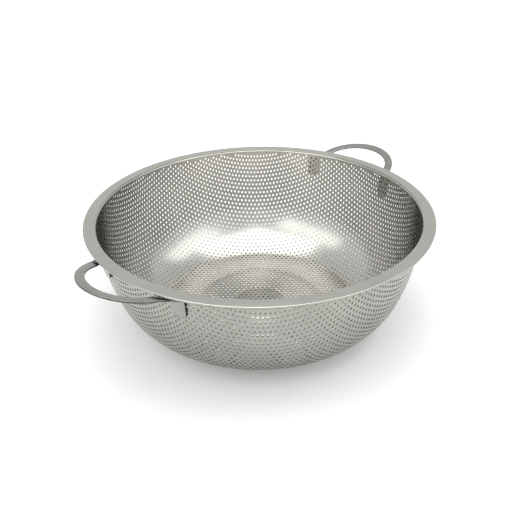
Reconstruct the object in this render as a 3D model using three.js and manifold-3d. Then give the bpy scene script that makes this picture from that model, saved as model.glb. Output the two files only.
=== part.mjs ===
// Stainless-steel micro-perforated colander, 24 cm across the rim.
// Units are millimetres, +Z is up, the handles lie along +X and -X, and the bowl stands on z = 0.
import * as THREE from 'three';
import { mergeVertices } from 'three/addons/utils/BufferGeometryUtils.js';
import Module from 'manifold-3d';

const wasm = await Module();
wasm.setup();
const { CrossSection, Manifold } = wasm;

// Driving dimensions.
const RIM_R = 120;          // outer radius of the rim
const RIM_TOP = 80;         // height of the rim's flat top
const SHEET = 0.4;          // thickness of the bowl sheet and of the rim band
const GAP = 0.1;            // clearance between the bowl's flange and the folded rim
const SEGMENTS = 80;        // facets round the bowl and the rim

// Floor of the bowl, as radii on its underside.
const BOSS_R = 20.5;        // small raised disc in the middle
const BOSS_RISE = 0.5;
const BEAD_IN = 42.5;       // shallow raised bead
const BEAD_OUT = 49.5;
const BEAD_RISE = 0.35;
const FLANK = 1.2;          // width of the small slopes beside the boss and the bead
const FLOOR_R = 59.2;       // edge of the flat floor
const BAND_R = 71.7;        // outer edge of the gently rising band
const BAND_RISE = 0.7;

// Wall of the bowl: two tangent arcs, given by the slope of the sheet above the horizontal.
const CORNER_ARC = 48;
const CORNER_FROM = 16.5;
const CORNER_TO = 71;
const WALL_TO = 88.7;
const FLANGE_BEND = 0.8;    // radius under the bend from wall to flange
const FLANGE_R = 118.5;     // outer edge of the flange

// Rim band: one strip folded over the flange.
const RIM_INNER_R = 112.0;
const UNDER_LEAF_R = 114.2;
const LIP = SHEET + GAP + SHEET / 2;    // outer radius of the rounded lip

// Handles: flat loops of thicker sheet, tilted up, with two tabs bent down against the wall.
const STRIP = 1.2;          // thickness
const TILT = 14;            // degrees above the horizontal
const LOOP_X = 112;         // where the round part of the loop starts
const LOOP_OUT = [32.5, 32.7];    // outer half axes, along and across the loop
const LOOP_IN = [21.0, 26.2];     // inner half axes
const LOOP_IN_START = 5.4;  // start of the inner half ellipse, measured from LOOP_X
const LIP_CLEARANCE = 0.2;  // between the loop and the rim's lip
const FOOT_LENGTH = 6.0;    // over which a leg widens into its tab
const LEG_OVERLAP = 1.8;    // how far a leg reaches back into the foot of its tab
const TAB_BOTTOM = 61.0;    // height of the lower end of a tab
const TAB_Y = 34.0;         // middle of a tab, across the loop
const TAB_WIDTH = 9.8;      // across the loop
const TAB_BEND = 1.2;       // inner radius of the bend into a tab
const TAB_TWIST = 14;       // degrees each tab turns towards the wall's own direction
const TAB_LEAN = 4.5;       // degrees from the vertical, like the wall behind it
const TAB_CORNER = 3.0;     // radius of a tab's lower corners
const WALL_CLEARANCE = 0.3; // between a tab and the wall

// Spot welds: short pegs that fill the clearance between a tab and the wall.
const WELD_R = 1.6;
const WELD_HEIGHTS = [65.2, 71.0];

const rad = THREE.MathUtils.degToRad;

// Points of an arc whose tangent turns from one slope to another; it starts at the last point of the list.
function addArc(points, radius, fromDeg, toDeg, steps) {
  const [r0, z0] = points[points.length - 1];
  for (let i = 1; i <= steps; i += 1) {
    const a = rad(fromDeg + ((toDeg - fromDeg) * i) / steps);
    const r = r0 + radius * (Math.sin(a) - Math.sin(rad(fromDeg)));
    const z = z0 + radius * (Math.cos(rad(fromDeg)) - Math.cos(a));
    points.push([r, z]);
  }
}

// Moves a profile sideways by a distance, to its left as it is walked.
function offsetProfile(points, distance) {
  return points.map(([r, z], i) => {
    const [ra, za] = points[Math.max(i - 1, 0)];
    const [rb, zb] = points[Math.min(i + 1, points.length - 1)];
    const length = Math.hypot(rb - ra, zb - za);
    return [Math.max(r - ((zb - za) / length) * distance, 0), z + ((rb - ra) / length) * distance];
  });
}

// Underside of the bowl, from the axis up to the free edge of the flange.
function bowlUnderside() {
  const points = [
    [0, BOSS_RISE],
    [BOSS_R - FLANK, BOSS_RISE],
    [BOSS_R, 0],
    [BEAD_IN, 0],
    [BEAD_IN + FLANK, BEAD_RISE],
    [BEAD_OUT - FLANK, BEAD_RISE],
    [BEAD_OUT, 0],
    [FLOOR_R, 0],
    [BAND_R, BAND_RISE],
  ];
  addArc(points, CORNER_ARC, CORNER_FROM, CORNER_TO, 10);
  const flangeUnder = RIM_TOP - 2 * SHEET - GAP;
  const wallTop = flangeUnder - FLANGE_BEND;
  const wallStart = points[points.length - 1][1];
  const wallArc = (wallTop - wallStart) / (Math.cos(rad(CORNER_TO)) - Math.cos(rad(WALL_TO)));
  addArc(points, wallArc, CORNER_TO, WALL_TO, 6);
  addArc(points, -FLANGE_BEND, 90, 0, 3);
  points.push([FLANGE_R, flangeUnder]);
  return points;
}

// Outer radius of the wall at a height, read off the underside profile.
function wallRadius(height) {
  const points = bowlUnderside();
  const above = points.findIndex(([, z], i) => i > 9 && z >= height);
  const [ra, za] = points[above - 1];
  const [rb, zb] = points[above];
  return ra + ((rb - ra) * (height - za)) / (zb - za);
}

function lathe(outline) {
  const vectors = outline.map(([r, z]) => new THREE.Vector2(r, z));
  const geometry = new THREE.LatheGeometry(vectors, SEGMENTS);
  geometry.rotateX(Math.PI / 2);
  return geometry;
}

function bowlGeometry() {
  const under = bowlUnderside();
  const inside = offsetProfile(under, SHEET);
  inside[0][0] = 0;
  return lathe([...under, ...inside.reverse()]);
}

// Cross-section of the folded band: top leaf, round lip, under leaf, and back along the inside.
function rimOutline() {
  const centre = [RIM_R - LIP, RIM_TOP - LIP];
  const points = [[RIM_INNER_R, RIM_TOP - SHEET]];
  points.push([UNDER_LEAF_R - 1, RIM_TOP - SHEET]);
  for (let i = 0; i <= 6; i += 1) {
    const a = Math.PI / 2 - (Math.PI * i) / 6;
    points.push([centre[0] + (LIP - SHEET) * Math.cos(a), centre[1] + (LIP - SHEET) * Math.sin(a)]);
  }
  points.push([UNDER_LEAF_R, RIM_TOP - 2 * LIP + SHEET]);
  points.push([UNDER_LEAF_R, RIM_TOP - 2 * LIP]);
  for (let i = 0; i <= 8; i += 1) {
    const a = -Math.PI / 2 + (Math.PI * i) / 8;
    points.push([centre[0] + LIP * Math.cos(a), centre[1] + LIP * Math.sin(a)]);
  }
  points.push([RIM_INNER_R + 0.2, RIM_TOP]);
  points.push([RIM_INNER_R, RIM_TOP - 0.15]);
  points.push(points[0].slice());
  return points;
}

// Half ellipse with straight legs back to a given place, as a closed polygon in the loop's own plane.
function loopPolygon(start, [along, across], back) {
  const points = [[back, -across]];
  for (let i = 0; i <= 32; i += 1) {
    const a = -Math.PI / 2 + (Math.PI * i) / 32;
    points.push([start + along * Math.cos(a), across * Math.sin(a)]);
  }
  points.push([back, across]);
  return new CrossSection([points]);
}

// Height of the loop's upper face above the plane z = 0, at a distance x from the axis.
function loopTop(x) {
  const lipX = RIM_R - LIP;
  const atLip = RIM_TOP - LIP - (LIP + LIP_CLEARANCE) / Math.cos(rad(TILT));
  return atLip + (x - lipX) * Math.tan(rad(TILT));
}

// Distance from the axis plane to the inner face of a tab, at the tab's own middle and at a height.
function tabFaceX(height) {
  const innerEdge = TAB_Y - TAB_WIDTH / 2;
  const wall = Math.sqrt(wallRadius(height) ** 2 - innerEdge ** 2);
  return wall + WALL_CLEARANCE - (TAB_WIDTH / 2) * Math.sin(rad(TAB_TWIST));
}

// Side view of one leg end: it comes in along the loop, bends, and runs down the wall to the tab's end.
function hookProfile() {
  const lean = rad(TAB_LEAN);
  const tilt = rad(TILT);
  const low = tabFaceX(TAB_BOTTOM);
  const faceX = (z) => low + (z - TAB_BOTTOM) * Math.tan(lean);
  // Centre of the bend: TAB_BEND + STRIP from the tab's inner face and from the loop's upper face.
  const reach = TAB_BEND + STRIP;
  let centreX = faceX(70) + reach;
  let centreZ = loopTop(centreX) - reach / Math.cos(tilt);
  for (let i = 0; i < 20; i += 1) {
    centreX = faceX(centreZ) + reach / Math.cos(lean);
    centreZ = loopTop(centreX) - reach / Math.cos(tilt);
  }
  const outer = [];
  const inner = [];
  for (let i = 0; i <= 8; i += 1) {
    const a = Math.PI / 2 + tilt + ((Math.PI / 2 - tilt - lean) * i) / 8 + (lean * 2 * i) / 8;
    outer.push([centreX + reach * Math.cos(a), centreZ + reach * Math.sin(a)]);
    inner.push([centreX + TAB_BEND * Math.cos(a), centreZ + TAB_BEND * Math.sin(a)]);
  }
  const legX = LOOP_X - LEG_OVERLAP;
  const start = [legX, loopTop(legX)];
  const startUnder = [legX + STRIP * Math.sin(tilt), loopTop(legX) - STRIP * Math.cos(tilt)];
  const end = [faceX(TAB_BOTTOM), TAB_BOTTOM];
  const endOuter = [end[0] + STRIP * Math.cos(lean), TAB_BOTTOM];
  return [start, ...outer, end, endOuter, ...inner.reverse(), startUnder];
}

// One leg end as a solid: the side view given width, its lower corners rounded, turned towards the wall.
function hookSolid(side) {
  const profile = CrossSection.ofPolygons([hookProfile()]);
  const solid = profile.extrude(TAB_WIDTH).translate([0, 0, -TAB_WIDTH / 2]).rotate([90, 0, 0]);
  const corner = TAB_CORNER;
  const front = CrossSection.square([TAB_WIDTH - 2 * corner, 40], true).offset(corner, 'Round', 2, 24);
  const mask = front.extrude(60).translate([0, 0, -30]).rotate([90, 0, 90]);
  const placedMask = mask.translate([LOOP_X, 0, TAB_BOTTOM + 20 + corner]);
  const shaped = solid.intersect(placedMask);
  const pivot = tabFaceX(68);
  return shaped
    .translate([-pivot, 0, 0])
    .rotate([0, 0, side * TAB_TWIST])
    .translate([pivot, side * TAB_Y, 0]);
}

// Flat foot that widens a leg of the loop to the width of its tab, in the loop's own plane.
function footPolygon(side, back) {
  const tabIn = TAB_Y - TAB_WIDTH / 2;
  const tabOut = TAB_Y + TAB_WIDTH / 2;
  const points = [
    [back, tabIn],
    [0.5, tabIn + 0.6],
    [FOOT_LENGTH, LOOP_IN[1]],
    [FOOT_LENGTH, LOOP_OUT[1] - 0.5],
    [FOOT_LENGTH / 2, LOOP_OUT[1] + 0.3],
    [1, LOOP_OUT[1] + 1.6],
    [-1, tabOut - 1.6],
    [back, tabOut],
  ];
  return CrossSection.ofPolygons([points.map(([u, v]) => [u, side * v])], 'NonZero');
}

// A whole handle on the +X side.
function handleSolid() {
  const back = -2.4;
  const ring = loopPolygon(0, LOOP_OUT, back)
    .subtract(loopPolygon(LOOP_IN_START, LOOP_IN, back - 1))
    .add(footPolygon(1, back))
    .add(footPolygon(-1, back));
  const plate = ring
    .extrude(STRIP)
    .translate([0, 0, -STRIP])
    .rotate([0, -TILT, 0])
    .translate([LOOP_X, 0, loopTop(LOOP_X)]);
  return plate.add(hookSolid(1)).add(hookSolid(-1));
}

// A weld peg on the +X side: a round bar through tab and wall, kept only in the clearance between them.
function weldSolid(side, height, bowl, handle) {
  const angle = Math.atan2(TAB_Y, tabFaceX(height));
  const bar = Manifold.cylinder(6, WELD_R, WELD_R, 20, true)
    .rotate([0, 90 - TAB_LEAN, 0])
    .translate([wallRadius(height), 0, height])
    .rotate([0, 0, (side * angle * 180) / Math.PI]);
  const pieces = bar.subtract(bowl).subtract(handle).decompose();
  const radii = pieces.map((piece) => {
    const { min, max } = piece.boundingBox();
    return Math.hypot(min[0] + max[0], min[1] + max[1]) / 2;
  });
  const order = pieces.map((_, i) => i).sort((a, b) => radii[a] - radii[b]);
  return pieces[order[1]];
}

function toGeometry(solid) {
  const mesh = solid.getMesh();
  const geometry = new THREE.BufferGeometry();
  const positions = new Float32Array(mesh.numVert * 3);
  for (let i = 0; i < mesh.numVert; i += 1) {
    for (let k = 0; k < 3; k += 1) {
      positions[i * 3 + k] = mesh.vertProperties[i * mesh.numProp + k];
    }
  }
  geometry.setAttribute('position', new THREE.BufferAttribute(positions, 3));
  geometry.setIndex(new THREE.BufferAttribute(new Uint32Array(mesh.triVerts), 1));
  geometry.computeVertexNormals();
  return geometry;
}

function toSolid(geometry) {
  const plain = geometry.clone();
  plain.deleteAttribute('normal');
  plain.deleteAttribute('uv');
  const merged = mergeVertices(plain, 1e-4);
  const mesh = new wasm.Mesh({
    numProp: 3,
    vertProperties: merged.attributes.position.array,
    triVerts: merged.index.array,
  });
  return new Manifold(mesh);
}

function steel(color, roughness) {
  return new THREE.MeshStandardMaterial({ color, roughness, metalness: 1.0 });
}

function addMesh(group, name, geometry, material) {
  const mesh = new THREE.Mesh(geometry, material);
  mesh.name = name;
  group.add(mesh);
}

const colander = new THREE.Group();
colander.name = 'colander';
const bowl = bowlGeometry();
addMesh(colander, 'bowl_shell', bowl, steel(0xb4b3ad, 0.3));
addMesh(colander, 'rim_band', lathe(rimOutline()), steel(0xbdbcb8, 0.25));

const bowlSolid = toSolid(bowl);
const handle = handleSolid();
const turns = { right: 0, left: 180 };
for (const [side, turn] of Object.entries(turns)) {
  addMesh(colander, `handle_${side}`, toGeometry(handle.rotate([0, 0, turn])), steel(0xb0afaa, 0.3));
  for (const end of [1, -1]) {
    WELD_HEIGHTS.forEach((height, i) => {
      const place = `${end * (turn ? -1 : 1) > 0 ? 'back' : 'front'}_${i ? 'upper' : 'lower'}`;
      const weld = weldSolid(end, height, bowlSolid, handle).rotate([0, 0, turn]);
      addMesh(colander, `weld_${side}_${place}`, toGeometry(weld), steel(0x9b9a95, 0.45));
    });
  }
}

export default colander;
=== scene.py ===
"""Looks of a stainless-steel micro-perforated colander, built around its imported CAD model.

Lengths in the constants are millimetres, and MM turns them into Blender's metres. Angles are degrees.
"""

import math

import bpy
import numpy as np
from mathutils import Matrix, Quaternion, Vector


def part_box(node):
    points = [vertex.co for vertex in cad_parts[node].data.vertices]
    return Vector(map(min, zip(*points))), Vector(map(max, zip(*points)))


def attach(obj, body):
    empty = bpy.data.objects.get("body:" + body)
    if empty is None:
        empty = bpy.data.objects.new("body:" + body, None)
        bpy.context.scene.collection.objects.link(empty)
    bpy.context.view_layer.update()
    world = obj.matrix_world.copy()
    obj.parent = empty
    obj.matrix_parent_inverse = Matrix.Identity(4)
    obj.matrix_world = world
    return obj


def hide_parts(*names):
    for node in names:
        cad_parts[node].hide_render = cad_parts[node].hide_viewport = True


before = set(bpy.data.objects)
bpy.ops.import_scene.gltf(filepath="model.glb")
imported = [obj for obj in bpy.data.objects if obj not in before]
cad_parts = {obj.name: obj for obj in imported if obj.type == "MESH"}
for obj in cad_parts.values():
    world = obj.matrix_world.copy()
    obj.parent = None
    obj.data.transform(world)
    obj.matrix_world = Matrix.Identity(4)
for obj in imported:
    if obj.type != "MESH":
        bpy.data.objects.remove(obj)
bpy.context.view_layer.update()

MM = 0.001

# Rim and sheet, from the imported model.
RIM_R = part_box("rim_band")[1].x / MM
RIM_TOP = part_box("rim_band")[1].z / MM
RIM_THICK = RIM_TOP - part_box("rim_band")[0].z / MM
FLANGE_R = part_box("bowl_shell")[1].x / MM
FLANGE_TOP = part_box("bowl_shell")[1].z / MM
SHEET = 0.4
RIM_INNER_R = 112.0
RIM_SEGMENTS = 288
UNDER_LEAF_R = 114.2
LIP_SHADE = 0.2             # how far below its middle the rim's lip turns to its underside, which is painted dark as shade

# Shape of the sheet, by length along it from the axis.
BOSS_EDGE = 20.6
BOSS_RISE = 0.5
BEAD_IN = 43.0
BEAD_OUT = 49.0
BEAD_RISE = 0.35
RAMP = 2.6                  # length of the small slopes of the boss and the bead
FLOOR_R = 59.2
BAND_R = 71.7
BAND_RISE = 0.7
BAND_CREASE = 1.6           # length of the crease between the band and the corner
CORNER_ARC = 48.0
CORNER_FROM = 16.5
CORNER_TO = 71.0
WALL_TO = 88.7
FLANGE_BEND = 0.8

# Perforation, on the flat blank before the sheet was drawn into a bowl.
PITCH = 3.63
HOLE_R = 0.86
ROW_ANGLE = -46.6
HOLE_ORIGIN = (-0.78, 1.20)
DRAWN_STRETCH = 1.13        # how much the sheet outside the band grew along its length
PLAIN_MARGIN = 1.25         # from the last hole centres to the bend of the flange
PIECE_EDGES = (76.0, 122.0)
PIECE_NAMES = ("perforated_floor", "perforated_corner", "perforated_wall")
CORNERS = 12                # points round a hole and round its share of the sheet
BAKE_DISCS = ((0.29, 0.29), (0.71, 0.71))   # places of the inner and the outer side in the bake layout
BAKE_DISC_R = 0.285
HOLE_WALL_SHARE = 0.6       # how far into its hole's empty place a hole's wall is laid out

# Handles.
STRIP = 1.2
STRIP_ROUNDING = 0.3
TILT = 14.0
LOOP_X = 112.0
LOOP_OUT = (32.5, 32.7)
LOOP_IN = (21.0, 26.2)
LOOP_IN_START = 5.4
LIP_CLEARANCE = 0.2
FOOT_LENGTH = 6.0
FOOT_FLARE = (1.6, 1.8)     # how far the loop's inner and outer edge spread at its foot
TAB_BOTTOM = 61.0
TAB_Y = 34.0
TAB_WIDTH = 9.8
TAB_BEND = 1.2
TAB_TWIST = 14.0
TAB_LEAN = 4.5
TAB_CORNER = 3.0
WALL_CLEARANCE = 0.3
STRIP_EDGE_FACES = (2, 3, 4, 10, 11, 12)    # faces round the strip's section that are its sheared edges, painted dark as shade

# Camera.
VIEW_AZIMUTH = -47.38
VIEW_ELEVATION = 30.52
VIEW_ROLL = -1.11
VIEW_LENS = 44.35
VIEW_AIM = (-1.81, 1.97, 41.28)
VIEW_DISTANCE = 459.1

# Floor and light. Each softbox has a name, azimuth, elevation, distance, width and height in metres,
# and strength.
FLOOR_HALF = 6000
WORLD_STRENGTH = 0.84
SOFTBOXES = (
    ("softbox_left", -107, 50, 1.8, 1.7, 0.70, 1.35),
    ("softbox_right", 37, 50, 1.8, 1.5, 0.70, 1.35),
    ("softbox_top", 0, 89, 2.2, 2.0, 2.0, 2.2),
)


# ---------------------------------------------------------------- mesh helpers

def new_object(name, verts_mm, faces, material, smooth=True):
    """A mesh object from points in millimetres and lists of corner indices."""
    mesh = bpy.data.meshes.new(name)
    mesh.from_pydata((np.asarray(verts_mm) * MM).tolist(), [], faces)
    mesh.validate()
    mesh.materials.append(material)
    if smooth:
        mesh.shade_smooth()
    obj = bpy.data.objects.new(name, mesh)
    bpy.context.scene.collection.objects.link(obj)
    return obj


def finish_piece(obj, slot, *nodes):
    """The piece rides on the object's only body and stands for the named CAD nodes."""
    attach(obj, "root")
    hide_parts(*nodes)


def smoothstep(values, low, high):
    """0 below low, 1 above high, and smooth between them."""
    share = np.clip((values - low) / (high - low), 0, 1)
    return share * share * (3 - 2 * share)


# ---------------------------------------------------------------- shape of the sheet

class Profile:
    """Underside of the sheet from the axis to the bend of the flange, as radius and height by length."""

    STEP = 0.02

    def __init__(self):
        corner_length = CORNER_ARC * math.radians(CORNER_TO - CORNER_FROM)
        corner_top = BAND_RISE + CORNER_ARC * (
            math.cos(math.radians(CORNER_FROM)) - math.cos(math.radians(CORNER_TO)))
        bend_start = FLANGE_TOP - SHEET - FLANGE_BEND
        wall_arc = (bend_start - corner_top) / (
            math.cos(math.radians(CORNER_TO)) - math.cos(math.radians(WALL_TO)))
        wall_length = wall_arc * math.radians(WALL_TO - CORNER_TO)
        self.length = BAND_R + corner_length + wall_length
        self.at = np.arange(0, self.length + self.STEP, self.STEP)
        self.slope = self._slope(corner_length, wall_length)
        middle = (self.slope[1:] + self.slope[:-1]) / 2
        self.r = np.concatenate([[0], np.cumsum(np.cos(middle) * self.STEP)])
        self.z = np.concatenate([[0], np.cumsum(np.sin(middle) * self.STEP)])
        self.z += bend_start - self.z[-1]

    def _slope(self, corner_length, wall_length):
        """Slope angle of the sheet above the horizontal, in radians."""
        at = self.at
        band = math.atan2(BAND_RISE, BAND_R - FLOOR_R)
        corner = np.interp(at, [BAND_R, BAND_R + corner_length, BAND_R + corner_length + wall_length],
                           np.radians([CORNER_FROM, CORNER_TO, WALL_TO]))
        slope = band * smoothstep(at, FLOOR_R - 1, FLOOR_R + 1)
        crease = smoothstep(at, BAND_R - BAND_CREASE / 2, BAND_R + BAND_CREASE / 2)
        slope = slope * (1 - crease) + corner * crease
        for edge, rise in ((BOSS_EDGE, -BOSS_RISE), (BEAD_IN, BEAD_RISE), (BEAD_OUT, -BEAD_RISE)):
            share = np.clip((at - edge) / RAMP + 0.5, 0, 1)
            slope = slope + rise * math.pi / (2 * RAMP) * np.sin(math.pi * share)
        return slope

    def place(self, length):
        """Radius, height and slope at a length along the sheet."""
        return (np.interp(length, self.at, self.r), np.interp(length, self.at, self.z),
                np.interp(length, self.at, self.slope))

    def radius_at(self, height):
        """Outer radius of the wall at a height."""
        start = np.searchsorted(self.at, BAND_R)
        return float(np.interp(height, self.z[start:], self.r[start:]))


profile = Profile()


def drawn_length(blank_radius):
    """Length along the drawn sheet of a point at a radius on the flat blank."""
    beyond = np.maximum(blank_radius - BAND_R, 0)
    return np.minimum(blank_radius, BAND_R) + beyond * DRAWN_STRETCH


BLANK_END = BAND_R + (profile.length - BAND_R) / DRAWN_STRETCH


def draw_sheet(blank, lift):
    """Points and inward unit normals of blank points, lift millimetres inside the underside."""
    radius = np.hypot(blank[:, 0], blank[:, 1])
    direction = blank / np.maximum(radius, 1e-9)[:, None]
    r, z, slope = profile.place(drawn_length(radius))
    normal = np.column_stack([-np.sin(slope)[:, None] * direction, np.cos(slope)])
    point = np.stack([r * direction[:, 0], r * direction[:, 1], z], 1)
    return point + normal * lift, normal


# ---------------------------------------------------------------- perforated sheet

def lattice():
    """Centres of all cells that reach the drawn sheet, as an array of blank points."""
    turn = math.radians(ROW_ANGLE)
    row = np.array([math.cos(turn), math.sin(turn)]) * PITCH
    step = np.array([math.cos(turn + math.pi / 3), math.sin(turn + math.pi / 3)]) * PITCH
    count = int(BLANK_END / PITCH * 1.3) + 2
    i, j = np.meshgrid(np.arange(-count, count + 1), np.arange(-count, count + 1))
    centres = np.array(HOLE_ORIGIN) + i.reshape(-1, 1) * row + j.reshape(-1, 1) * step
    return centres[np.hypot(centres[:, 0], centres[:, 1]) < BLANK_END + PITCH]


def cell_rings():
    """Offsets from a cell's centre to its outline and to its hole, matched by angle."""
    angles = math.radians(ROW_ANGLE) + np.arange(CORNERS) * 2 * math.pi / CORNERS
    reach = np.where(np.arange(CORNERS) % 2 == 0, PITCH / 2, PITCH / math.sqrt(3))
    unit = np.stack([np.cos(angles), np.sin(angles)], 1)
    return unit * reach[:, None], unit * HOLE_R


def snap_to_edge(points):
    """Moves outline points just beyond the sheet's edge back onto it."""
    radius = np.hypot(points[..., 0], points[..., 1])
    near = (radius > BLANK_END - 0.05) & (radius < BLANK_END + PITCH / math.sqrt(3) - PLAIN_MARGIN + 0.05)
    return np.where(near[..., None], points * (BLANK_END / np.maximum(radius, 1e-9))[..., None], points)


def clip_to_edge(polygon):
    """The part of a cell's outline inside the sheet's edge."""
    kept = []
    radius = np.hypot(polygon[:, 0], polygon[:, 1])
    inside = radius <= BLANK_END + 1e-6
    for k in range(len(polygon)):
        a, b = polygon[k], polygon[(k + 1) % len(polygon)]
        ra, rb = radius[k], radius[(k + 1) % len(polygon)]
        if inside[k]:
            kept.append(a)
        crosses = inside[k] != inside[(k + 1) % len(polygon)]
        if crosses and min(abs(ra - BLANK_END), abs(rb - BLANK_END)) > 1e-6:
            d = b - a
            half = a @ d
            root = math.sqrt(half * half - (d @ d) * (a @ a - BLANK_END ** 2))
            share = (-half + root) / (d @ d) if inside[k] else (-half - root) / (d @ d)
            kept.append(a + d * share)
    return np.array(kept)


class SheetPiece:
    """One closed ring of the perforated sheet, gathered as blank points and faces."""

    def __init__(self):
        self.points = []
        self.count = 0
        self.faces = []         # corner indices of the inner surface
        self.walls = []         # hole outlines, as index lists
        self.centres = []       # hole centres

    def add(self, points):
        self.points.append(points)
        self.count += len(points)
        return self.count - len(points)


def weld(points):
    """Unique points and the index of each given point among them."""
    keys = np.round(points, 3)
    _, first, index = np.unique(keys, axis=0, return_index=True, return_inverse=True)
    return points[first], index.reshape(-1)


def gather_cells():
    """The sheet's cells shared out among the pieces."""
    outline, hole = cell_rings()
    pieces = [SheetPiece() for _ in PIECE_NAMES]
    for centre in lattice():
        radius = math.hypot(*centre)
        piece = pieces[int(np.searchsorted(PIECE_EDGES, radius))]
        ring = snap_to_edge(centre + outline)
        if radius <= BLANK_END - PLAIN_MARGIN:
            start = piece.add(np.concatenate([ring, centre + hole]))
            for k in range(CORNERS):
                after = (k + 1) % CORNERS
                piece.faces.append(
                    [start + k, start + after, start + CORNERS + after, start + CORNERS + k])
            piece.walls.append([start + CORNERS + k for k in range(CORNERS)])
            piece.centres.append(centre)
        else:
            ring = clip_to_edge(ring)
            if len(ring) >= 3:
                start = piece.add(ring)
                piece.faces.append([start + k for k in range(len(ring))])
    return pieces


def without_repeats(face):
    """A face's corners without neighbours that welding made the same."""
    return [v for k, v in enumerate(face) if v != face[k - 1]]


def open_edges(faces):
    """Directed edges that only one face uses."""
    edges = {(f[k - 1], f[k]) for f in faces for k in range(len(f))}
    return [(a, b) for a, b in edges if (b, a) not in edges]


def build_sheet_piece(name, piece, inside, outside):
    """Both surfaces, hole walls and cut sides of one ring of the sheet, with exact normals."""
    blank, index = weld(np.concatenate(piece.points))
    faces = [without_repeats([int(index[v]) for v in f]) for f in piece.faces]
    faces = [f for f in faces if len(f) >= 3]
    total = len(blank)
    inner, up = draw_sheet(blank, SHEET)
    outer, _ = draw_sheet(blank, 0.0)
    middle = (inner + outer) / 2
    corners, normals, flat, sides = [], [], [], []

    def add_face(indices, face_normals, face_flat, side=0):
        corners.append(indices)
        normals.extend(face_normals)
        flat.extend(face_flat)
        sides.extend([side] * len(indices))

    for f in faces:
        add_face(f, up[f], blank[f])
    for f in faces:
        back = f[::-1]
        add_face([v + total for v in back], -up[back], blank[back], 1)
    hole_middle, _ = draw_sheet(np.array(piece.centres), SHEET / 2)
    for ring, centre, flat_centre in zip(piece.walls, hole_middle, piece.centres):
        ids = [int(index[v]) for v in ring]
        laid = flat_centre + (blank[ids] - flat_centre) * HOLE_WALL_SHARE
        to_centre = centre - middle[ids]
        to_centre /= np.linalg.norm(to_centre, axis=1)[:, None]
        for k in range(CORNERS):
            a, b = ids[k - 1], ids[k]
            add_face([b, a, a + total, b + total],
                     [to_centre[k], to_centre[k - 1], to_centre[k - 1], to_centre[k]],
                     [blank[b], blank[a], laid[k - 1], laid[k]])
    hole_edges = {(int(index[r[k]]), int(index[r[k - 1]])) for r in piece.walls for k in range(CORNERS)}
    rim_points = np.abs(np.hypot(blank[:, 0], blank[:, 1]) - BLANK_END) < 0.02
    creased = {v for edge in hole_edges for v in edge}
    for a, b in open_edges(faces):
        if (a, b) in hole_edges or (b, a) in hole_edges or (rim_points[a] and rim_points[b]):
            continue
        creased.update((a, b))
        side = np.cross(inner[b] - inner[a], up[a])
        side /= np.linalg.norm(side)
        add_face([b, a, a + total, b + total], [side] * 4, [blank[b], blank[a], blank[a], blank[b]])
    points = [inner, outer]
    if rim_points.any():
        add_flange(blank, np.nonzero(rim_points)[0], total, points, add_face)
    obj = new_object(name, np.concatenate(points), corners, inside)
    obj.data.materials.append(outside)
    # Faces of the outer surface take the second material, the sheet painted darker as shade.
    outer_faces = np.zeros(len(corners), np.int32)
    outer_faces[len(faces):2 * len(faces)] = 1
    obj.data.polygons.foreach_set("material_index", outer_faces)
    lay_out_for_baking(obj.data, np.array(flat), np.array(sides))
    mark_creases(obj.data, points, np.array(sorted(creased)), total)
    obj.data.normals_split_custom_set(np.asarray(normals, float).tolist())
    return obj


def lay_out_for_baking(mesh, flat, sides):
    """Texture places for the baked finish: the flat blank, once for each side of the sheet."""
    scale = BAKE_DISC_R / np.hypot(flat[:, 0], flat[:, 1]).max()
    places = np.array(BAKE_DISCS)[sides] + flat * scale
    layer = mesh.uv_layers.new(name="OFBake")
    layer.data.foreach_set("uv", places.astype(np.float32).ravel())


def mark_creases(mesh, points, creased, total):
    """Sharp edges at hole edges, cut sides and the flange's end, so that faces keep their normals."""
    layer = np.repeat(np.arange(len(points)), [len(p) for p in points])
    flagged = np.zeros(len(layer), bool)
    flagged[creased] = True
    flagged[creased + total] = True
    if len(points) > 2:
        flagged[layer >= len(points) - 2] = True
    ends = np.empty(len(mesh.edges) * 2, np.int32)
    mesh.edges.foreach_get("vertices", ends)
    a, b = ends.reshape(-1, 2).T
    sharp = flagged[a] & flagged[b] & (layer[a] == layer[b])
    attribute = mesh.attributes.new("sharp_edge", "BOOLEAN", "EDGE")
    attribute.data.foreach_set("value", sharp)


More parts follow.
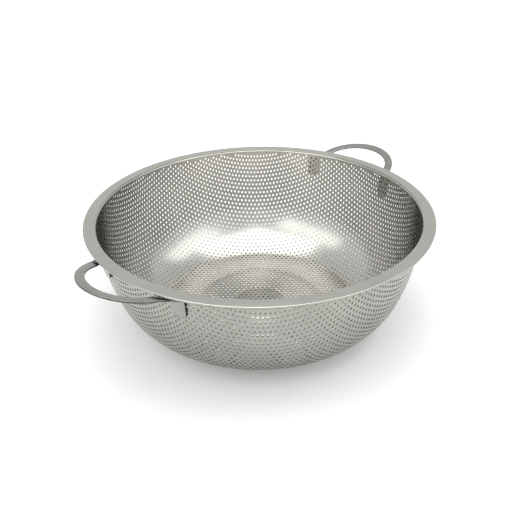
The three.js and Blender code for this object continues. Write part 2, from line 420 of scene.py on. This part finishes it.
def add_flange(blank, ids, total, points, add_face):
    """The bend and the flange beyond the last cells, on the same directions as the cells' edge points."""
    angle = np.arctan2(blank[ids, 1], blank[ids, 0])
    ids = ids[np.argsort(angle)]
    direction = blank[ids] / np.hypot(blank[ids, 0], blank[ids, 1])[:, None]
    wall_r, wall_z, _ = profile.place(profile.length)
    centre_r, centre_z = wall_r + FLANGE_BEND, wall_z
    flange_under = FLANGE_TOP - SHEET

    def ring(r, z):
        start = sum(len(p) for p in points)
        points.append(np.column_stack([direction * r, np.full(len(ids), z)]))
        return list(range(start, start + len(ids)))

    def band(low, high, low_slope, high_slope, sign, low_run, high_run):
        """Faces between two rings; sign is 1 on the inner side, and runs are lengths past the wall."""
        def normal(slope, k):
            return sign * np.array([-math.sin(slope) * direction[k, 0],
                                    -math.sin(slope) * direction[k, 1], math.cos(slope)])
        for k in range(len(ids)):
            after = (k + 1) % len(ids)
            face = [low[after], low[k], high[k], high[after]]
            face_normals = [normal(low_slope, after), normal(low_slope, k),
                            normal(high_slope, k), normal(high_slope, after)]
            laid = [direction[after] * (BLANK_END + low_run), direction[k] * (BLANK_END + low_run),
                    direction[k] * (BLANK_END + high_run), direction[after] * (BLANK_END + high_run)]
            if sign < 0:
                face.reverse()
                face_normals.reverse()
                laid.reverse()
            add_face(face, face_normals, laid, 0 if sign > 0 else 1)

    slopes = np.radians([WALL_TO, 60, 30, 0])
    above, below = [int(v) for v in ids], [int(v) + total for v in ids]
    run = 0.0
    for low, high in zip(slopes[:-1], slopes[1:]):
        next_run = run + FLANGE_BEND * (low - high)
        next_above = ring(centre_r - (FLANGE_BEND + SHEET) * math.sin(high),
                          centre_z + (FLANGE_BEND + SHEET) * math.cos(high))
        next_below = ring(centre_r - FLANGE_BEND * math.sin(high), centre_z + FLANGE_BEND * math.cos(high))
        band(above, next_above, low, high, 1, run, next_run)
        band(below, next_below, low, high, -1, run, next_run)
        above, below, run = next_above, next_below, next_run
    edge_above, edge_below = ring(FLANGE_R, FLANGE_TOP), ring(FLANGE_R, flange_under)
    edge_run = run + FLANGE_R - centre_r
    band(above, edge_above, 0, 0, 1, run, edge_run)
    band(below, edge_below, 0, 0, -1, run, edge_run)
    band(edge_below, edge_above, math.pi / 2, math.pi / 2, -1, edge_run, edge_run + SHEET)


# ---------------------------------------------------------------- rim

def arc(centre, radius, start, end, steps):
    """Points of an arc in a section, angles in degrees from outwards towards up."""
    angles = np.radians(np.linspace(start, end, steps + 1))
    return [(centre[0] + radius * math.cos(a), centre[1] + radius * math.sin(a)) for a in angles]


def rim_section():
    """Closed section of the folded band, walked with the metal on its left."""
    lip = RIM_THICK / 2
    lip_centre = (RIM_R - lip, RIM_TOP - lip)
    edge = SHEET / 2
    points = arc((RIM_INNER_R + edge, RIM_TOP - edge), edge, 90, 270, 6)
    points += arc(lip_centre, lip - SHEET, 90, -90, 8)
    points += arc((UNDER_LEAF_R + edge, RIM_TOP - RIM_THICK + edge), edge, 90, 270, 6)
    points += arc(lip_centre, lip, -90, 90, 14)
    return points


def lathe(name, section, segments, material):
    """A closed section turned about the axis."""
    angles = np.arange(segments) * 2 * math.pi / segments
    verts = [(r * math.cos(a), r * math.sin(a), z) for a in angles for r, z in section]
    count = len(section)
    faces = []
    for i in range(segments):
        here, there = i * count, (i + 1) % segments * count
        for k in range(count):
            after = (k + 1) % count
            faces.append([here + k, there + k, there + after, here + after])
    return new_object(name, verts, faces, material)


# ---------------------------------------------------------------- handles

def loop_top(x):
    """Height of the loop's upper face at a distance from the axis."""
    lip = RIM_THICK / 2
    at_lip = RIM_TOP - lip - (lip + LIP_CLEARANCE) / math.cos(math.radians(TILT))
    return at_lip + (x - (RIM_R - lip)) * math.tan(math.radians(TILT))


def tab_face_x(height):
    """Distance from the axis plane to the inner face of a tab at its middle."""
    inner_edge = TAB_Y - TAB_WIDTH / 2
    wall = math.sqrt(profile.radius_at(height) ** 2 - inner_edge ** 2)
    return wall + WALL_CLEARANCE - TAB_WIDTH / 2 * math.sin(math.radians(TAB_TWIST))


def on_loop(u, v):
    """A point of the loop's upper face, u outwards and v across, from the start of its round part."""
    tilt = math.radians(TILT)
    return np.array([LOOP_X + u * math.cos(tilt), v, loop_top(LOOP_X) + u * math.sin(tilt)])


def tab_stations():
    """Stations of the +Y tab from its lower end up round the bend: inner edge, outer edge, normal."""
    lean, tilt, twist = (math.radians(v) for v in (TAB_LEAN, TILT, TAB_TWIST))
    low = tab_face_x(TAB_BOTTOM)

    def face_x(z):
        return low + (z - TAB_BOTTOM) * math.tan(lean)

    reach = TAB_BEND + STRIP
    centre_x = face_x(70) + reach
    for _ in range(20):
        centre_z = loop_top(centre_x) - reach / math.cos(tilt)
        centre_x = face_x(centre_z) + reach / math.cos(lean)
    pivot = tab_face_x(68)
    side = []
    for share in np.linspace(0, 1, 9):
        depth = TAB_CORNER * (1 - math.cos(share * math.pi / 2))
        half = TAB_WIDTH / 2 - TAB_CORNER + TAB_CORNER * math.sin(math.acos(1 - depth / TAB_CORNER))
        side.append((face_x(TAB_BOTTOM + depth), TAB_BOTTOM + depth, math.pi + lean, half))
    for height in np.linspace(TAB_BOTTOM + TAB_CORNER + 2, centre_z - 0.4, 4):
        side.append((face_x(height), height, math.pi + lean, TAB_WIDTH / 2))
    for angle in np.linspace(math.pi + lean, math.pi / 2 + tilt, 9):
        side.append((centre_x + reach * math.cos(angle), centre_z + reach * math.sin(angle),
                     angle, TAB_WIDTH / 2))
    stations = []
    for x, z, angle, half in side:
        turn = np.array([[math.cos(twist), -math.sin(twist)], [math.sin(twist), math.cos(twist)]])
        edges = []
        for across in (-half, half):
            px, py = turn @ np.array([x - pivot, across])
            edges.append(np.array([px + pivot, py + TAB_Y, z]))
        nx, ny = turn @ np.array([math.cos(angle), 0])
        stations.append((edges[0], edges[1], np.array([nx, ny, math.sin(angle)])))
    return stations


def loop_stations():
    """Stations of the loop from the foot at +Y to the foot at -Y."""
    tilt = math.radians(TILT)
    normal = np.array([-math.sin(tilt), 0, math.cos(tilt)])
    stations = []
    for angle in np.linspace(90, -90, 73):
        a = math.radians(angle)
        outer = (LOOP_OUT[0] * math.cos(a), LOOP_OUT[1] * math.sin(a))
        inner = (LOOP_IN_START * math.cos(a) ** 0.5 + LOOP_IN[0] * math.cos(a),
                 LOOP_IN[1] * math.sin(a))
        widen = 1 - smoothstep(np.array(outer[0]), 0, FOOT_LENGTH)
        flare = float(widen) * math.copysign(1, math.sin(a))
        stations.append((on_loop(inner[0], inner[1] + FOOT_FLARE[0] * flare),
                         on_loop(outer[0], outer[1] + FOOT_FLARE[1] * flare), normal))
    return stations


def mirrored(station):
    """A station's twin across the handle's middle."""
    flip = np.array([1, -1, 1])
    return tuple(v * flip for v in station)


def strip_ring(inner, outer, normal):
    """Rounded section of the strip between two edge points of its upper face."""
    across = outer - inner
    width = np.linalg.norm(across)
    across = across / width
    corner = min(STRIP_ROUNDING, width / 3)
    points = []
    for cu, cn, start in ((width - corner, -corner, 90), (width - corner, corner - STRIP, 0),
                          (corner, corner - STRIP, -90), (corner, -corner, -180)):
        for step in range(4):
            a = math.radians(start - 30 * step)
            points.append(inner + across * (cu + corner * math.cos(a))
                          + normal * (cn + corner * math.sin(a)))
    return points


def build_handle(name, turn, material, shade_material):
    """One handle whose sheared edges and ends are painted dark as shade; turn is 1 for +X and -1 for -X."""
    tab = tab_stations()
    stations = tab + loop_stations() + [mirrored(s) for s in reversed(tab)]
    verts = []
    for station in stations:
        verts += [p * np.array([turn, turn, 1]) for p in strip_ring(*station)]
    ring = 16
    faces = []
    for i in range(len(stations) - 1):
        for k in range(ring):
            after = (k + 1) % ring
            faces.append([i * ring + k, i * ring + after, (i + 1) * ring + after, (i + 1) * ring + k])
    last = (len(stations) - 1) * ring
    faces.append([ring - 1 - k for k in range(ring)])
    faces.append([last + k for k in range(ring)])
    handle = new_object(name, verts, faces, material)
    handle.data.materials.append(shade_material)
    # Sheared edges and end caps take the near-black steel, as painted shade.
    for number, polygon in enumerate(handle.data.polygons):
        is_end = number >= len(faces) - 2
        polygon.material_index = 1 if is_end or number % ring in STRIP_EDGE_FACES else 0
    return handle


# ---------------------------------------------------------------- materials

class Nodes:
    """Short ways to add and link shader nodes."""

    def __init__(self, tree):
        self.tree = tree

    def add(self, kind, **values):
        node = self.tree.nodes.new(kind)
        for key, value in values.items():
            setattr(node, key, value)
        return node

    def link(self, source, target):
        self.tree.links.new(source, target)

    def math(self, operation, a, b=0.0):
        node = self.add("ShaderNodeMath", operation=operation)
        for socket, value in zip(node.inputs, (a, b)):
            if isinstance(value, (int, float)):
                socket.default_value = value
            else:
                self.link(value, socket)
        return node.outputs[0]

    def noise(self, vector, scale, detail=2.0, w=None):
        node = self.add("ShaderNodeTexNoise", noise_dimensions="4D" if w is not None else "3D")
        node.inputs["Scale"].default_value = scale
        node.inputs["Detail"].default_value = detail
        self.link(vector, node.inputs["Vector"])
        if w is not None:
            self.link(w, node.inputs["W"])
        return node.outputs["Fac"]

    def span(self, value, low, high, start=0.0, end=1.0):
        """Maps start..end to low..high."""
        node = self.add("ShaderNodeMapRange")
        for key, number in (("From Min", start), ("From Max", end), ("To Min", low), ("To Max", high)):
            node.inputs[key].default_value = number
        self.link(value, node.inputs["Value"])
        return node.outputs["Result"]

    def tint(self, factor, low, high):
        """A colour between two."""
        node = self.add("ShaderNodeMix", data_type="RGBA")
        node.inputs["A"].default_value = (*low, 1)
        node.inputs["B"].default_value = (*high, 1)
        self.link(factor, node.inputs["Factor"])
        return node.outputs["Result"]


def spun_coordinates(nodes):
    """Coordinates that follow the circles of a turned part: fine across the circles, slow along them."""
    position = nodes.add("ShaderNodeTexCoord").outputs["Object"]
    parts = nodes.add("ShaderNodeSeparateXYZ")
    nodes.link(position, parts.inputs[0])
    x, y, z = parts.outputs
    squares = nodes.math("ADD", nodes.math("MULTIPLY", x, x), nodes.math("MULTIPLY", y, y))
    radius = nodes.math("SQRT", squares)
    safe = nodes.math("MAXIMUM", radius, 1e-4)
    spun = nodes.add("ShaderNodeCombineXYZ")
    nodes.link(radius, spun.inputs[0])
    nodes.link(z, spun.inputs[1])
    nodes.link(nodes.math("MULTIPLY", nodes.math("DIVIDE", x, safe), 0.003), spun.inputs[2])
    return position, spun.outputs[0], nodes.math("MULTIPLY", nodes.math("DIVIDE", y, safe), 0.9)


def steel(name, dark, light, rough, grain, anisotropy, spun=True):
    """Satin stainless steel: smudges, patches and grain lines in colour, roughness and bump."""
    material = bpy.data.materials.new(name)
    material.use_nodes = True
    nodes = Nodes(material.node_tree)
    shader = material.node_tree.nodes["Principled BSDF"]
    shader.inputs["Metallic"].default_value = 1.0
    shader.inputs["Anisotropic"].default_value = anisotropy
    position, lines_at, turn = spun_coordinates(nodes)
    if spun:
        lines = nodes.noise(lines_at, 900.0, 3.0, turn)
        fine = nodes.noise(lines_at, 2600.0, 2.0, turn)
    else:
        lines = nodes.noise(position, 220.0, 3.0)
        fine = nodes.noise(position, 1500.0, 2.0)
    smudges = nodes.noise(position, 28.0, 4.0)
    patches = nodes.noise(position, 9.0, 2.0)
    worn = nodes.math("ADD", nodes.math("MULTIPLY", smudges, 0.6), nodes.math("MULTIPLY", lines, 0.4))
    nodes.link(nodes.tint(nodes.span(worn, 0, 1, 0.3, 0.7), dark, light), shader.inputs["Base Color"])
    uneven = nodes.math("ADD", nodes.math("MULTIPLY", patches, 0.5), nodes.math("MULTIPLY", lines, 0.5))
    nodes.link(nodes.span(uneven, rough[0], rough[1], 0.3, 0.7), shader.inputs["Roughness"])
    bump = nodes.add("ShaderNodeBump")
    bump.inputs["Strength"].default_value = grain
    bump.inputs["Distance"].default_value = 0.00002
    nodes.link(nodes.math("ADD", lines, nodes.math("MULTIPLY", fine, 0.5)), bump.inputs["Height"])
    nodes.link(bump.outputs[0], shader.inputs["Normal"])
    if anisotropy:
        shader.inputs["Anisotropic Rotation"].default_value = 0.25
        tangent = nodes.add("ShaderNodeTangent", direction_type="RADIAL", axis="Z")
        nodes.link(tangent.outputs[0], shader.inputs["Tangent"])
    return material


def floor_material():
    """Plain white studio paper with a barely visible unevenness."""
    material = bpy.data.materials.new("studio_floor")
    material.use_nodes = True
    nodes = Nodes(material.node_tree)
    shader = material.node_tree.nodes["Principled BSDF"]
    shader.inputs["Roughness"].default_value = 0.9
    shader.inputs["Specular IOR Level"].default_value = 0.1
    position = nodes.add("ShaderNodeTexCoord").outputs["Object"]
    cloud = nodes.noise(position, 3.0, 3.0)
    nodes.link(nodes.tint(cloud, (0.91, 0.91, 0.91), (0.93, 0.93, 0.93)), shader.inputs["Base Color"])
    return material


# ---------------------------------------------------------------- stage, light and camera

def add_floor():
    """A square of plain paper that the bowl stands on."""
    half = FLOOR_HALF
    verts = [(-half, -half, 0), (half, -half, 0), (half, half, 0), (-half, half, 0)]
    floor = new_object("studio_floor", verts, [[0, 1, 2, 3]], floor_material(), smooth=False)


def add_softbox(name, azimuth, elevation, distance, width, height, radiance):
    """An area light that faces the bowl from a direction seen from it."""
    light = bpy.data.lights.new(name, "AREA")
    light.shape = "RECTANGLE"
    light.size = width
    light.size_y = height
    light.energy = radiance * math.pi * width * height
    obj = bpy.data.objects.new(name, light)
    a, e = math.radians(azimuth), math.radians(elevation)
    towards = Vector((math.sin(a) * math.cos(e), -math.cos(a) * math.cos(e), math.sin(e)))
    obj.location = towards * distance
    obj.rotation_mode = "QUATERNION"
    obj.rotation_quaternion = towards.to_track_quat("Z", "Y")
    obj.visible_camera = False
    bpy.context.scene.collection.objects.link(obj)


def add_world(strength):
    """Even white light from all round."""
    world = bpy.data.worlds.new("studio")
    world.use_nodes = True
    background = world.node_tree.nodes["Background"]
    background.inputs["Color"].default_value = (1.0, 1.0, 1.0, 1)
    background.inputs["Strength"].default_value = strength
    bpy.context.scene.world = world


def add_camera():
    """The camera, aimed at the bowl from its azimuth, elevation and distance."""
    data = bpy.data.cameras.new("camera")
    data.lens = VIEW_LENS
    data.sensor_width = 36.0
    data.clip_start = 0.01
    data.clip_end = 50.0
    camera = bpy.data.objects.new("camera", data)
    a, e = math.radians(VIEW_AZIMUTH), math.radians(VIEW_ELEVATION)
    back = Vector((math.sin(a) * math.cos(e), -math.cos(a) * math.cos(e), math.sin(e)))
    camera.location = (Vector(VIEW_AIM) + back * VIEW_DISTANCE) * MM
    camera.rotation_mode = "QUATERNION"
    roll = Quaternion((0, 0, 1), math.radians(VIEW_ROLL))
    camera.rotation_quaternion = (-back).to_track_quat("-Z", "Y") @ roll
    bpy.context.scene.collection.objects.link(camera)
    bpy.context.scene.camera = camera


# ---------------------------------------------------------------- the object

sheet_inside = steel("sheet_inside", (0.43, 0.424, 0.389), (0.58, 0.571, 0.528), (0.20, 0.26), 0.05, 0.6)
# The bowl's outer side is the same sheet as the inside, painted darker as shade for the dim surroundings it
# reflects; it is also rougher.
sheet_outside_shaded = steel("sheet_outside_shaded", (0.33, 0.325, 0.297), (0.43, 0.424, 0.39), (0.24, 0.32), 0.08, 0.6)
rim_steel = steel("rim_steel", (0.43, 0.426, 0.392), (0.52, 0.512, 0.468), (0.20, 0.26), 0.10, 0.7)
# Near-black steel on the rim lip's underside and the handles' edges and ends: painted shade and painted
# dark reflection, not the steel's own colour.
painted_shade_steel = steel("painted_shade_steel", (0.05, 0.049, 0.046), (0.14, 0.137, 0.13),
                   (0.25, 0.40), 0.5, 0.0, spun=False)
# The handles' steel is painted darker than the bowl's as shade, for the dim surroundings the strips
# reflect.
handle_steel = steel("handle_steel", (0.28, 0.276, 0.26), (0.365, 0.36, 0.339),
                     (0.16, 0.26), 0.2, 0.0, spun=False)
weld_steel = steel("weld_steel", (0.22, 0.21, 0.20), (0.42, 0.41, 0.39), (0.35, 0.60), 0.8, 0.0, spun=False)

for piece_name, sheet_piece in zip(PIECE_NAMES, gather_cells()):
    sheet = build_sheet_piece(piece_name, sheet_piece, sheet_inside, sheet_outside_shaded)
    finish_piece(sheet, "perforated_sheet", "bowl_shell")

rim = lathe("folded_rim", rim_section(), RIM_SEGMENTS, rim_steel)
rim.data.materials.append(painted_shade_steel)
# The lip's lower side and the under leaf take the near-black steel: painted shade under the rim's lip.
lip_middle = (RIM_TOP - RIM_THICK / 2) * MM
for polygon in rim.data.polygons:
    polygon.material_index = 1 if polygon.center.z < lip_middle - LIP_SHADE * MM else 0
finish_piece(rim, "rim_steel", "rim_band")

for side, turn in (("right", 1), ("left", -1)):
    handle = build_handle(f"loop_handle_{side}", turn, handle_steel, painted_shade_steel)
    finish_piece(handle, "handle_steel", f"handle_{side}")

for node_name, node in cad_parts.items():
    if node_name.startswith("weld_"):
        node.data.materials.clear()
        node.data.materials.append(weld_steel)

add_floor()
add_world(WORLD_STRENGTH)
for softbox in SOFTBOXES:
    add_softbox(*softbox)
add_camera()
bpy.context.scene.view_settings.view_transform = "Standard"
